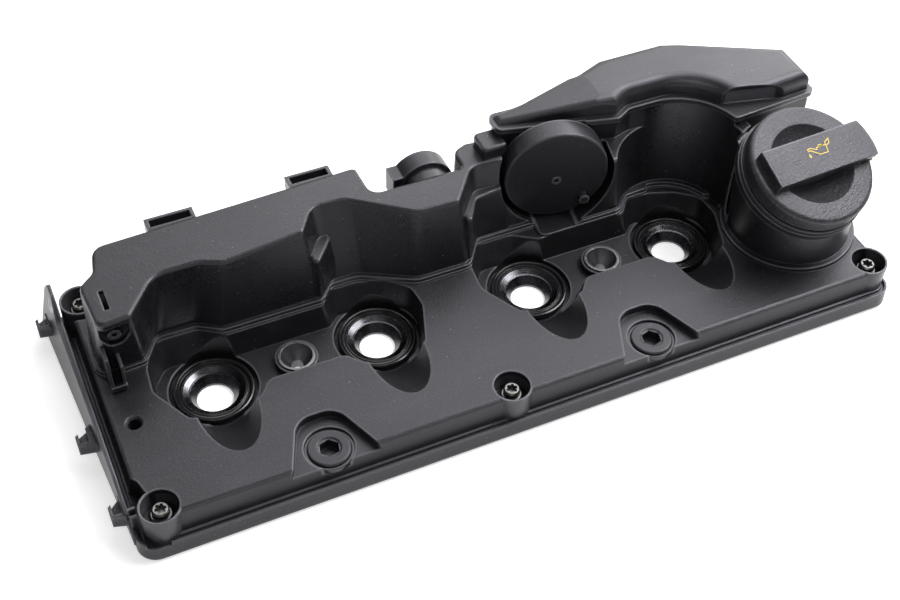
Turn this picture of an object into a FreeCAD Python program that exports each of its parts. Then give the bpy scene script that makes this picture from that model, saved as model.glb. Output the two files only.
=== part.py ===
import FreeCAD, Part
import math
import os

# Engine valve cover for a four-cylinder diesel engine, in millimetres.
# Origin: axis of injector opening 1 at the gasket plane. X runs along the engine, Y to the rear, Z up.

os.makedirs("parts", exist_ok=True)
V = FreeCAD.Vector
UP = V(0, 0, 1)

# Stations along the engine
CYLINDER_PITCH = 88.0
X1 = 0.0
X2 = X1 + CYLINDER_PITCH
X3 = X2 + CYLINDER_PITCH
X4 = X3 + CYLINDER_PITCH
INJECTOR_X = [X1, X2, X3, X4]
LEFT_END = X1 - 60.0
RIGHT_END = X4 + 94.0
FRONT_Y = -80.0
REAR_Y = 82.0

# Levels above the gasket plane
FLANGE_UNDERSIDE = 1.0
FLANGE_TOP = 8.5
RIDGE_TOP = 10.0
DECK_Z = 24.0
SADDLE_Z = 9.0
SEAL_FLOOR_Z = 5.0
BELL_FLOOR_Z = 19.2
RIB_X = [X1 - 26.0, X2 + 44.0, X4 + 36.0]
WELD_RIB_TOP = 25.2
CHAMBER_TOP = 66.0
LEDGE_TOP = 64.0
LID_SEAT = 76.0
LID_FLANGE_TOP = 79.0
LID_TOP = 90.0
LID_SHOULDER = 6.0
LID_SLOPE_SHOULDER = 3.0
LID_CREST_X = X4 - 30.0
LID_SLOPE = 9.0

# Walls and clearances
WALL = 3.0
SHELL_WALL = 2.5
FLANGE_CORNER = 10.0
DECK_SETBACK = 4.5
DECK_DRAFT = 1.5
DECK_ROUND = 1.8
TOP_ROUND = 1.6
WELD_FLANGE = 2.0
SEAT_GAP = 0.1
FREE_GAP = 0.4

# Perimeter gasket
GASKET_WIDTH = 2.4
GASKET_HEIGHT = 4.0
GASKET_INSET = 1.6

# Injector openings
SEAL_RADIUS = 20.5
SEAL_SLEEVE = 15.5
SEAL_TOP = 9.0
INSERT_RIM = 15.6
INSERT_RIM_Z = 7.5
INSERT_STEP = 12.2
INSERT_STEP_Z = 6.0
INSERT_HOLE = 9.3
INSERT_WALL = 0.9
INSERT_NECK = 0.8
POCKET_ROUND = 22.5
LOBE_RADIUS = 15.0
LOBE_START_Y = -20.0
LOBE_END_Y = -53.0

# Clamp bolt bushes between injector pairs
BUSH_RADIUS = 8.8
BUSH_MOUTH = 8.2
BUSH_HOLE = 3.2
BUSH_TOP = 14.0
BUSH_BOSS = 11.0

# Screw plugs in the front bells
PLUG_Y = -64.0
PLUG_OFFSET = 37.5
PLUG_RADIUS = 10.6
PLUG_SHANK = 8.8
PLUG_BOSS = 14.5
PLUG_HEAD = 4.0
PLUG_LENGTH = 15.0
PLUG_HEX = 9.0
RING_RADIUS = 12.2

# Captive screws and their bosses
BOSS_RADIUS = 10.1
BOSS_BORE = 9.0
BOSS_FLOOR = 9.0
SLEEVE_OUTER = 5.2
SLEEVE_BORE = 3.4
GROMMET_OUTER = 6.9
SCREW_SHANK = 3.0
HEAD_RADIUS = 4.2
HEAD_HEIGHT = 3.8
HEAD_FLANGE = 5.9
SLEEVE_TOP = 16.0
FRONT_SCREW_Y = -67.5
REAR_SCREW_Y = 70.0
SCREW_PLACES = [
    (X1 - 45.5, FRONT_SCREW_Y),
    (X2 + 44.0, FRONT_SCREW_Y),
    (X4 + 82.5, FRONT_SCREW_Y + 2.0),
    (X1 - 51.0 + 3.0, REAR_SCREW_Y),
    (X2 + 58.0, REAR_SCREW_Y),
    (X4 + 80.0, REAR_SCREW_Y),
]
CORNER_CUTS = [(3, 14.0)]
SPOT_RADIUS = 3.2
SPOT_FLOOR = 11.0

# Oil filler neck and cap
NECK_X = X4 + 57.0
NECK_Y = -24.2
NECK_RADIUS = 33.0
NECK_RING = 36.6
NECK_BORE = 22.0
NECK_WELL = 24.0
RIM_RADIUS = 36.0
RIM_THICK = 4.5
RIM_Z = 61.7
RIM_SHIFT = -1.6
CAP_TILT = 21.5
CAP_TURN = -8.0
CAP_RADIUS = 34.85
CAP_FLANGE = 35.6
CAP_HEIGHT = 13.0
CAP_SEAL = 1.0
CAP_WELL = 23.5
CAP_WELL_DEPTH = 8.0
GRIP_WIDTH = 21.5
GRIP_RISE = 6.0
GRIP_OFFSET = 1.9
GRIP_TURN = 4.0
CAP_PLUG_LENGTH = 9.0

# Pressure regulator on the separator housing
REG_X = X3 + 28.2
REG_Y = 30.1
REG_Z = 54.7
REG_YAW = 12.4
REG_RADIUS = 28.5
REG_DEPTH = 13.1
REG_WALL = 1.8
CRADLE_GAP = 2.5
REG_BOSS = 27.0
DIAPHRAGM_THICK = 1.0
PLATE_RADIUS = 15.0
PLATE_THICK = 2.5
SEAT_STROKE = 3.0
CUP_DEPTH = 8.0
CUP_RADIUS = 19.5
SEAT_RADIUS = 8.0
SEAT_BORE = 5.5
SPRING_RADIUS = 10.5
SPRING_WIRE = 0.5
SPRING_TURNS = 3
VENT_DROP = 3.2

# Drains under the separator
DRAIN_PLACES = [(X1 + 20.0, 50.0), (X4 + 10.0, 56.0)]
DRAIN_STEM = 2.0
DRAIN_DISC = 6.5
INSERT_BASE = 2.0
GAS_WAYS = [(X1 - 12.0, 50.0), (X4 + 58.0, 30.0)]

# Breather port on the rear wall of the separator
PORT_X = X2 + 49.3
PORT_Z = 51.2
PORT_STUB = 14.2
PORT_BORE = 10.5
COLLAR_RADIUS = 16.4
COLLAR_START = 52.5
COLLAR_LENGTH = 10.5
CHAMBER_REAR = 44.5


def corner(before, at, after, radius):
    """Return start, middle and end of the round at one outline corner."""
    back = before.sub(at)
    ahead = after.sub(at)
    back.normalize()
    ahead.normalize()
    turn = math.pi - back.getAngle(ahead)
    reach = radius * math.tan(turn / 2)
    bisector = back.add(ahead)
    bisector.normalize()
    centre_distance = radius / math.cos(turn / 2)
    middle = at.add(bisector.multiply(centre_distance - radius))
    return at.add(back.multiply(reach)), middle, at.add(ahead.multiply(reach))


def outline_edges(points, z):
    """Rounds and lines of a closed outline at height z from (x, y, corner radius) points."""
    places = [V(x, y, z) for x, y, r in points]
    count = len(points)
    rounds = []
    for i in range(count):
        rounds.append(corner(places[i - 1], places[i], places[(i + 1) % count], points[i][2]))
    edges = []
    for i in range(count):
        start, middle, end = rounds[i]
        edges.append(Part.Arc(start, middle, end).toShape())
        edges.append(Part.LineSegment(end, rounds[(i + 1) % count][0]).toShape())
    return edges


def outline(points, z):
    return Part.Wire(outline_edges(points, z))


def inset(points, distance):
    """Outline moved inwards by a distance, or outwards if it is negative."""
    count = len(points)
    normals = []
    for i in range(count):
        ax, ay, ar = points[i]
        bx, by, br = points[(i + 1) % count]
        length = math.hypot(bx - ax, by - ay)
        normals.append(((ay - by) / length, (bx - ax) / length))
    moved = []
    for i in range(count):
        x, y, r = points[i]
        n0 = normals[i - 1]
        n1 = normals[i]
        scale = distance / (1.0 + n0[0] * n1[0] + n0[1] * n1[1])
        turn = n0[0] * n1[1] - n0[1] * n1[0]
        radius = r - distance if turn > 0 else r + distance
        moved.append((x + (n0[0] + n1[0]) * scale, y + (n0[1] + n1[1]) * scale, max(radius, 0.5)))
    return moved


def prism(points, z0, z1):
    return Part.Face(outline(points, z0)).extrude(V(0, 0, z1 - z0))


def stack(levels):
    """Solid through several (points, z) outlines whose corners match one to one."""
    rings = [outline_edges(points, z) for points, z in levels]
    faces = [Part.Face(Part.Wire(rings[0])), Part.Face(Part.Wire(rings[-1]))]
    for low, high in zip(rings[:-1], rings[1:]):
        for edge0, edge1 in zip(low, high):
            faces.append(Part.makeRuledSurface(edge0, edge1))
    shell = Part.Shell(faces)
    shell.sewShape()
    solid = Part.Solid(shell)
    if solid.Volume < 0:
        solid.reverse()
    return solid


def ruled(points0, z0, points1, z1):
    return stack([(points0, z0), (points1, z1)])


def eased(foot, z0, rim, z1, radius):
    """Drafted block whose top edge is eased in two small steps."""
    middle = inset(rim, radius * 0.3)
    top = inset(rim, radius)
    return stack([(foot, z0), (rim, z1 - radius), (middle, z1 - radius * 0.3), (top, z1)])


def ring_prism(points, inner, z0, z1):
    return prism(points, z0, z1).cut(prism(inset(points, inner), z0 - 1, z1 + 1))


def box(x0, x1, y0, y1, z0, z1):
    return Part.makeBox(x1 - x0, y1 - y0, z1 - z0, V(x0, y0, z0))


def rod(radius, x, y, z0, z1):
    return Part.makeCylinder(radius, z1 - z0, V(x, y, z0))


def tube(outer, inner, x, y, z0, z1):
    return rod(outer, x, y, z0, z1).cut(rod(inner, x, y, z0 - 1, z1 + 1))


def turned(profile, x, y):
    """Solid of revolution about a vertical line, from (radius, z) points."""
    points = [V(x + r, y, z) for r, z in profile]
    points.append(points[0])
    face = Part.Face(Part.makePolygon(points))
    return face.revolve(V(x, y, 0), UP, 360)


def join(shapes):
    first = shapes[0]
    if len(shapes) == 1:
        return first
    return first.fuse(shapes[1:]).removeSplitter()


def save(shape, name):
    shape.exportStep("parts/" + name + ".step")


# Outlines

FLANGE = [
    (LEFT_END, FRONT_Y, FLANGE_CORNER),
    (RIGHT_END, FRONT_Y, FLANGE_CORNER),
    (RIGHT_END, REAR_Y, FLANGE_CORNER),
    (LEFT_END, REAR_Y, FLANGE_CORNER),
]
DECK_FOOT = inset(FLANGE, DECK_SETBACK)
DECK_RIM = inset(FLANGE, DECK_SETBACK + DECK_DRAFT)


def pocket_rim(a, b):
    """Edge of an injector pair's pocket at deck level; a and b are the injectors' x."""
    return [
        (a - 18, -26, 6),
        (a + 17, -26, 6),
        (a + 24, -17, 7),
        (b - 24, -17, 7),
        (b - 17, -26, 6),
        (b + 16, -26, 6),
        (b + 25, -1, 12),
        (b + 24, 13, 10),
        (b + 12, 22, 8),
        (b - 1, 26.5, 8),
        (b - 15, 26.5, 5),
        (b - 22, 18, 4),
        (a + 14, 18, 4),
        (a + 1, 26.5, 8),
        (a - 20, 26.5, 7),
        (a - 28.5, 13, 8),
        (a - 30, -3, 10),
    ]


def pocket_foot(a, b):
    """Foot of the pocket's walls at the saddle floor."""
    return [
        (a - 16, -23, 6),
        (a + 15, -23, 6),
        (a + 22, -14, 7),
        (b - 22, -14, 7),
        (b - 15, -23, 6),
        (b + 14, -23, 6),
        (b + 23, -1, 12),
        (b + 22, 11, 10),
        (b + 11, 18, 8),
        (b - 2, 21, 8),
        (b - 14, 21, 5),
        (b - 20, 15.5, 4),
        (a + 13, 15.5, 4),
        (a, 21, 8),
        (a - 19, 21, 7),
        (a - 27, 11, 8),
        (a - 28, -3, 10),
    ]


def bell(x):
    """Outline of the bell-shaped recess round a screw plug, open to the front."""
    return [
        (x - 32, FRONT_Y - 4, 1),
        (x + 32, FRONT_Y - 4, 1),
        (x + 32, FRONT_Y + 4.6, 1),
        (x + 22, FRONT_Y + 4.6, 6),
        (x + 10, PLUG_Y + 18, 11),
        (x - 10, PLUG_Y + 18, 11),
        (x - 22, FRONT_Y + 4.6, 6),
        (x - 32, FRONT_Y + 4.6, 1),
    ]


CHAMBER_FOOT = [
    (X1 - 50, 15.5, 6),
    (X1 - 28, 16.5, 4),
    (X1 - 20, 29, 7),
    (X1 + 1, 29, 9),
    (X1 + 14, 21, 5),
    (X2 - 22, 21, 4),
    (X2 - 15, 29.5, 6),
    (X2 + 1, 29.5, 12),
    (X2 + 29, 14.5, 10),
    (X3 - 30, 14.5, 4),
    (X3 - 19, 29.5, 7),
    (X3 + 22, 29.5, 2),
    (X3 + 22, 60, 3),
    (X3 - 12, 63.5, 6),
    (X3 - 20, 60, 6),
    (X3 - 20, CHAMBER_REAR + 2, 3),
    (X2 + 18, CHAMBER_REAR + 2, 6),
    (X2 + 17, 69, 4),
    (X1 - 33, 68, 6),
    (X1 - 38.5, 48, 6),
    (X1 - 50, 40.5, 6),
]
CHAMBER_RIM = [
    (X1 - 47.5, 9, 5),
    (X1 - 31, 11, 4),
    (X1 - 14, 32, 14),
    (X1 + 8, 32, 12),
    (X1 + 19, 27, 5),
    (X2 - 25.5, 32, 3),
    (X2 - 16, 46.5, 9),
    (X2 + 1, 46, 12),
    (X2 + 32, 22.8, 10),
    (X3 - 32.5, 22.2, 3),
    (X3 - 16, 43.5, 9),
    (X3 + 22, 40, 2),
    (X3 + 22, 58, 3),
    (X3 - 12, 61.5, 6),
    (X3 - 20.5, 58, 6),
    (X3 - 20.5, CHAMBER_REAR, 3),
    (X2 + 16, CHAMBER_REAR, 6),
    (X2 + 15.5, 66.5, 3),
    (X1 - 37, 61.5, 8),
    (X1 - 40.5, 45, 7),
    (X1 - 49, 38, 6),
]
LEDGE = [
    (X3 + 18, 20.5, 2),
    (X4 - 25, 20.5, 5),
    (X4 - 16, 29, 6),
    (X4 - 2, 29.5, 2),
    (X4 - 2, 48, 2),
    (X3 + 18, 48, 2),
]
TOWER_FOOT = [
    (X3 + 2, 53, 4),
    (X4 - 23, 38, 4),
    (X4 - 14, 34, 6),
    (X4 + 18.9, 30, 29),
    (X4 + 27, 11.5, 2),
    (RIGHT_END - 7, 12, 4),
    (RIGHT_END - 7, 46, 6),
    (X4 + 34, 72, 10),
    (X4 + 23, 74, 8),
    (X4 - 17, 74, 10),
    (X4 - 35, 68, 14),
    (X3 + 15, 61.5, 14),
    (X3 + 2, 62, 3),
]
LID_FLANGE = [
    (X3 + 1.5, 50.5, 4),
    (X4 - 22, 34.5, 4),
    (X4 - 13.5, 39.5, 6),
    (X4 + 26.2, 39.2, 34),
    (X4 + 35.6, 10.6, 2.5),
    (RIGHT_END - 6, 14, 4),
    (RIGHT_END - 6, 45, 6),
    (X4 + 34, 72, 10),
    (X4 + 23, 76, 8),
    (X4 - 17, 76, 10),
    (X4 - 35, 69, 15),
    (X3 + 16, 63.5, 15),
    (X3 + 1.5, 64, 4),
]
TOWER_RIM = inset(LID_FLANGE, 1.5)
LEFT_STEP_FOOT = [
    (X1 + 63, 21.5, 1.5),
    (X1 + 66.5, 20.5, 2),
    (X1 + 74, 29, 4),
    (X1 + 80, 31, 4),
    (X1 + 80, 46, 2),
    (X1 + 63, 46, 2),
]
LEFT_STEP_RIM = [
    (X1 + 64, 25.5, 1.5),
    (X1 + 67, 23.5, 2),
    (X1 + 74, 32, 4),
    (X1 + 78, 37, 3),
    (X1 + 78, 46, 2),
    (X1 + 64, 46, 2),
]
RIGHT_STEP_FOOT = [
    (X2 + 57, 16.5, 1.5),
    (X2 + 60.5, 15.8, 2),
    (X2 + 69, 28.5, 5),
    (X2 + 90, 28.5, 2),
    (X2 + 90, 46, 2),
    (X2 + 57, 46, 2),
]
RIGHT_STEP_RIM = [
    (X2 + 59, 20.5, 1.5),
    (X2 + 62, 19.5, 2),
    (X2 + 70.5, 33, 6),
    (X2 + 88, 35, 2),
    (X2 + 88, 46, 2),
    (X2 + 59, 46, 2),
]
CORNER_NOTCH = [
    (LEFT_END - 2, X1 - 43, 0.5),
    (LEFT_END - 2, FRONT_Y - 2, 0.5),
    (X1 - 45, FRONT_Y - 2, 0.5),
    (X1 - 45, -63, 1),
    (X1 - 49.6, -57, 4),
    (X1 - 51, -51, 6),
    (X1 - 55.5, -44.5, 2),
]
SOCKET_FACE = [
    (X1 - 46.8, 61, 0.8),
    (X1 - 46.8, 53, 5.5),
    (X1 - 42.5, 47, 5),
    (X1 - 36.5, 47, 5),
    (X1 - 32.6, 53, 5),
    (X1 - 32.6, 61.5, 0.8),
]


# Cover body

def lobe(x, grow):
    """Slanted round valley in front of an injector opening."""
    slope = math.atan2(DECK_Z - SEAL_FLOOR_Z, LOBE_START_Y - LOBE_END_Y)
    along = V(0, -math.cos(slope), math.sin(slope))
    start_y = LOBE_START_Y + LOBE_RADIUS * math.sin(slope)
    start_z = SEAL_FLOOR_Z + LOBE_RADIUS * math.cos(slope)
    start = V(x, start_y, start_z).sub(V(along).multiply(grow))
    return Part.makeCylinder(LOBE_RADIUS + grow, 75 + grow, start, along)


def pocket(a, b, grow):
    """Space of one injector pair's pocket, grown outwards by a wall for the underside."""
    rim = inset(pocket_rim(a, b), -grow)
    foot = inset(pocket_foot(a, b), -grow)
    parts = [stack([(foot, SADDLE_Z - grow), (rim, DECK_Z), (rim, DECK_Z + 6)])]
    for x in (a, b):
        parts.append(rod(POCKET_ROUND + grow, x, 0, SEAL_FLOOR_Z - grow, DECK_Z - 2))
        parts.append(lobe(x, grow))
    return parts


def bell_space(x, grow):
    edge = inset(bell(x), -grow)
    return prism(edge, BELL_FLOOR_Z - grow, DECK_Z + 2)


def end_plate():
    """Thin wall at the left end that flares out to the rear, with three lugs on its outer face."""
    x = LEFT_END
    front = FRONT_Y + 11
    rear = REAR_Y + 1.5
    sections = []
    for y, flare in ((front, 0.5), (rear, 8.0)):
        points = [V(x - flare, y, 2.5), V(x + 1, y, 2.5), V(x + 0.8, y, 34), V(x - 0.6, y, 34)]
        sections.append(Part.makePolygon(points + [points[0]]))
    wall = Part.makeLoft(sections, True, True)
    side = [
        (FRONT_Y + 10, 2, 0.8),
        (REAR_Y + 1, 2, 2),
        (REAR_Y + 1, 32, 7),
        (REAR_Y - 13, 32, 6),
        (REAR_Y - 24, 25, 8),
        (-44, 24, 10),
        (FRONT_Y + 12, 11, 2),
    ]
    edge = outline(side, 0)
    edge.rotate(V(0, 0, 0), V(1, 0, 0), 90)
    edge.rotate(V(0, 0, 0), V(0, 0, 1), 90)
    sheet = Part.Face(edge).extrude(V(14, 0, 0))
    sheet.translate(V(x - 11, 0, 0))
    plate = wall.common(sheet)
    lugs = []
    for y, reach, low in ((REAR_Y - 9, 11.5, 7.0), (-9.0, 10.8, 8.5), (-55.0, 7.0, 9.0)):
        lug = Part.Face(Part.makePolygon([
            V(x - 0.2, y - 7, low),
            V(x - 0.2, y + 8, low),
            V(x - reach, y + 2, low),
            V(x - reach, y - 5, low),
            V(x - 0.2, y - 7, low),
        ])).extrude(V(0, 0, 6))
        notch = box(x - reach + 1.6, x - reach + 5.6, y - 3, y + 9, low + 2.5, 20)
        lugs.append(lug.cut(notch))
    for y in (-61.0, -65.5):
        lugs.append(box(x + 0.5, X1 - 53, y - 0.7, y + 0.7, FLANGE_TOP - 0.5, 20))
    return join([plate] + lugs)


def neck_axis():
    tilt = math.radians(CAP_TILT)
    turn = math.radians(CAP_TURN)
    return V(-math.sin(tilt) * math.sin(turn), -math.sin(tilt) * math.cos(turn), math.cos(tilt))


NECK_AXIS = neck_axis()
RIM_CENTRE = V(NECK_X - 0.5, NECK_Y + RIM_SHIFT, RIM_Z)


def along_neck(distance):
    return RIM_CENTRE.add(V(NECK_AXIS).multiply(distance))


def neck_rod(radius, start, end):
    return Part.makeCylinder(radius, end - start, along_neck(start), NECK_AXIS)


def neck_solid():
    """Upright neck cut off by the slanted rim, on a low round foot."""
    wall = rod(NECK_RADIUS, NECK_X, NECK_Y, DECK_Z - 3, RIM_Z + 30)
    wall = wall.cut(neck_rod(80, -RIM_THICK / 2, 80))
    foot = rod(NECK_RING, NECK_X, NECK_Y, DECK_Z - 3, DECK_Z + 2.2)
    rim = neck_rod(RIM_RADIUS, -RIM_THICK, 0)
    return [wall, foot, rim]


def neck_bore():
    return [neck_rod(NECK_BORE, -16, 5), rod(NECK_WELL, NECK_X, NECK_Y + 1, 0, RIM_Z - 17)]


def underside_space():
    """Space under the deck, with a wall left round every pocket, boss and bore."""
    edge = inset(FLANGE, DECK_SETBACK + DECK_DRAFT + WALL)
    space = prism(edge, -1, DECK_Z - WALL)
    keep = []
    keep += pocket(X1, X2, WALL)
    keep += pocket(X3, X4, WALL)
    for x in (X1 + PLUG_OFFSET, X3 + PLUG_OFFSET):
        keep.append(bell_space(x, WALL))
        keep.append(rod(PLUG_BOSS, x, PLUG_Y, BELL_FLOOR_Z - PLUG_LENGTH, DECK_Z))
    for x, y in SCREW_PLACES:
        keep.append(rod(BOSS_RADIUS, x, y, -1, DECK_Z))
    for place, radius in CORNER_CUTS:
        x, y = SCREW_PLACES[place]
        keep.append(rod(radius + WALL, x, y, FLANGE_TOP - WALL, DECK_Z))
    keep.append(prism(inset(CORNER_NOTCH, -WALL), FLANGE_TOP - WALL, DECK_Z))
    keep.append(rod(SPOT_RADIUS + 2.4, X1 - 43.3, -17.5, SPOT_FLOOR - 2.4, DECK_Z))
    for x in (X1, X3):
        keep.append(rod(BUSH_BOSS, x + CYLINDER_PITCH / 2, 0, 0.5, SADDLE_Z))
    for x in RIB_X:
        keep.append(box(x - 1, x + 1, 30, REAR_Y, DECK_Z - WALL - 7, DECK_Z))
    return space.cut(keep)


def cover_body():
    flange = ruled(FLANGE, FLANGE_UNDERSIDE, inset(FLANGE, 0.6), FLANGE_TOP)
    outer_ridge = ring_prism(inset(FLANGE, 0.6), 1.2, FLANGE_TOP - 0.5, RIDGE_TOP)
    inner_ridge = ring_prism(inset(FLANGE, 3.6), 1.2, FLANGE_TOP - 0.5, RIDGE_TOP)
    deck = eased(DECK_FOOT, FLANGE_TOP - 2, DECK_RIM, DECK_Z, DECK_ROUND)
    solids = [flange, outer_ridge, inner_ridge, deck, end_plate()]
    solids += neck_solid()
    rib = []
    for foot in (CHAMBER_FOOT, LEDGE, TOWER_FOOT):
        rib.append(prism(inset(foot, -WELD_FLANGE - 0.5), DECK_Z - 0.5, WELD_RIB_TOP))
    solids += rib
    body = solids[0].fuse(solids[1:])
    cuts = []
    for place, radius in CORNER_CUTS:
        x, y = SCREW_PLACES[place]
        cuts.append(rod(radius, x, y, FLANGE_TOP, DECK_Z + 3))
    cuts.append(prism(CORNER_NOTCH, FLANGE_TOP, DECK_Z + 3).cut(box(LEFT_END - 20, LEFT_END + 4.2, -90, -30, 0, 40)))
    body = body.cut(cuts)
    bosses = []
    for x, y in SCREW_PLACES:
        bosses.append(rod(BOSS_RADIUS, x, y, FLANGE_UNDERSIDE, DECK_Z))
    body = body.fuse(bosses)
    cuts = pocket(X1, X2, 0) + pocket(X3, X4, 0)
    for x in (X1 + PLUG_OFFSET, X3 + PLUG_OFFSET):
        cuts.append(bell_space(x, 0))
    cuts.append(underside_space())
    cuts += neck_bore()
    body = body.cut(cuts)
    body = body.fuse(bush_bosses())
    body = body.cut(body_holes())
    return body.removeSplitter()


def bush_bosses():
    bosses = []
    for x in (X1, X3):
        bosses.append(rod(BUSH_BOSS, x + CYLINDER_PITCH / 2, 0, 0.5 + FLANGE_UNDERSIDE, BUSH_TOP - 1))
    return bosses


def body_holes():
    holes = []
    for x in INJECTOR_X:
        holes.append(rod(SEAL_SLEEVE + SEAT_GAP, x, 0, -1, SEAL_FLOOR_Z + 1))
    for x in (X1, X3):
        holes.append(rod(BUSH_RADIUS + SEAT_GAP, x + CYLINDER_PITCH / 2, 0, -1, BUSH_TOP + 1))
    for x in (X1 + PLUG_OFFSET, X3 + PLUG_OFFSET):
        holes.append(rod(PLUG_SHANK + SEAT_GAP, x, PLUG_Y, 0, DECK_Z))
        holes.append(rod(RING_RADIUS, x, PLUG_Y, BELL_FLOOR_Z - PLUG_HEAD, DECK_Z))
    for x, y in SCREW_PLACES:
        holes.append(rod(BOSS_BORE, x, y, BOSS_FLOOR, DECK_Z + 1))
        holes.append(rod(GROMMET_OUTER + SEAT_GAP, x, y, FLANGE_UNDERSIDE + 1.5, BOSS_FLOOR + 1))
        holes.append(rod(SLEEVE_OUTER + 1, x, y, -1, BOSS_FLOOR))
    spot_x = X1 - 43.3
    spot_y = -17.5
    holes.append(rod(SPOT_RADIUS, spot_x, spot_y, SPOT_FLOOR, DECK_Z + 1))
    holes.append(Part.makeCone(SPOT_RADIUS, SPOT_RADIUS + 1.2, 1.2, V(spot_x, spot_y, DECK_Z - 1.2)))
    holes += separator_ways()
    groove = inset(FLANGE, GASKET_INSET - SEAT_GAP)
    holes.append(ring_prism(groove, GASKET_WIDTH + 2 * SEAT_GAP, -1, GASKET_HEIGHT))
    return holes


def separator_ways():
    """Gas slots and drain holes between the crankcase and the separator."""
    z0 = DECK_Z - WALL - 1
    z1 = WELD_RIB_TOP + INSERT_BASE + 1
    ways = []
    for x, y in GAS_WAYS:
        ways.append(box(x - 9, x + 9, y - 4, y + 4, z0, z1))
    for x, y in DRAIN_PLACES:
        ways.append(rod(DRAIN_STEM + SEAT_GAP, x, y, z0, z1))
        for k in range(4):
            a = math.radians(45 + 90 * k)
            ways.append(rod(1.0, x + 4.4 * math.cos(a), y + 4.4 * math.sin(a), z0, z1))
    return ways


def perimeter_gasket():
    return ring_prism(inset(FLANGE, GASKET_INSET), GASKET_WIDTH, 0, GASKET_HEIGHT)


# Separator housing, lid and inserts

def regulator_axis():
    yaw = math.radians(REG_YAW)
    return V(-math.sin(yaw), -math.cos(yaw), 0)


def regulator_point(forward):
    """Point on the regulator's axis, measured forwards from its face."""
    return V(REG_X, REG_Y, REG_Z).add(regulator_axis().multiply(forward))


def regulator_rod(radius, start, end):
    return Part.makeCylinder(radius, end - start, regulator_point(start), regulator_axis())


def cradle(grow):
    """Round clearance about the regulator, open to the front."""
    return regulator_rod(REG_RADIUS + CRADLE_GAP + grow, -REG_DEPTH - grow, 50)


def injector_bay():
    """Slanted round clearance behind injector 4 that follows the tower's concave wall."""
    low = Part.Wire([Part.makeCircle(29.3, V(X4 - 1.0, 3.2, WELD_RIB_TOP), UP)])
    high = Part.Wire([Part.makeCircle(35.8, V(X4 + 1.6, 5.3, LID_SEAT), UP)])
    return Part.makeLoft([low, high], True, True)


def wedge():
    """Web between the tower and the filler neck."""
    return box(X4 + 18, X4 + 44, -14, 20, WELD_RIB_TOP, 73)


def eyelet(x, y, width):
    frame = box(x - width / 2, x + width / 2, y, y + 9.0, CHAMBER_TOP - 8, CHAMBER_TOP - 0.5)
    return frame.cut(box(x - width / 2 + 2, x + width / 2 - 2, y + 2.4, y + 7.4, CHAMBER_TOP - 9, CHAMBER_TOP + 1))


def clip_socket():
    """Two upright guide ribs and their foot on the chamber's front left corner."""
    x = X1 - 48.0
    left = box(x, x + 1.8, 4.5, 15, WELD_RIB_TOP, 47)
    right = box(x + 6.4, x + 8.0, 4.5, 15, WELD_RIB_TOP, 40)
    foot = box(x, x + 8.0, 3.0, 15, WELD_RIB_TOP, 28)
    return [left, right, foot]


def face_socket(grow, depth):
    """Space of the D-shaped socket in the chamber's front left face."""
    edge = outline(inset(SOCKET_FACE, -grow), 0)
    edge.rotate(V(0, 0, 0), V(1, 0, 0), 90)
    block = Part.Face(edge).extrude(V(0, depth + 12, 0))
    block.translate(V(0, 4, 0))
    return block


def socket_boss():
    boss = Part.makeCylinder(3.2, 5, V(X1 - 40.0, 12.6, 54.0), V(0, 1, 0))
    return boss.cut(Part.makeCylinder(1.4, 3, V(X1 - 40.0, 12.0, 54.0), V(0, 1, 0)))


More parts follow.
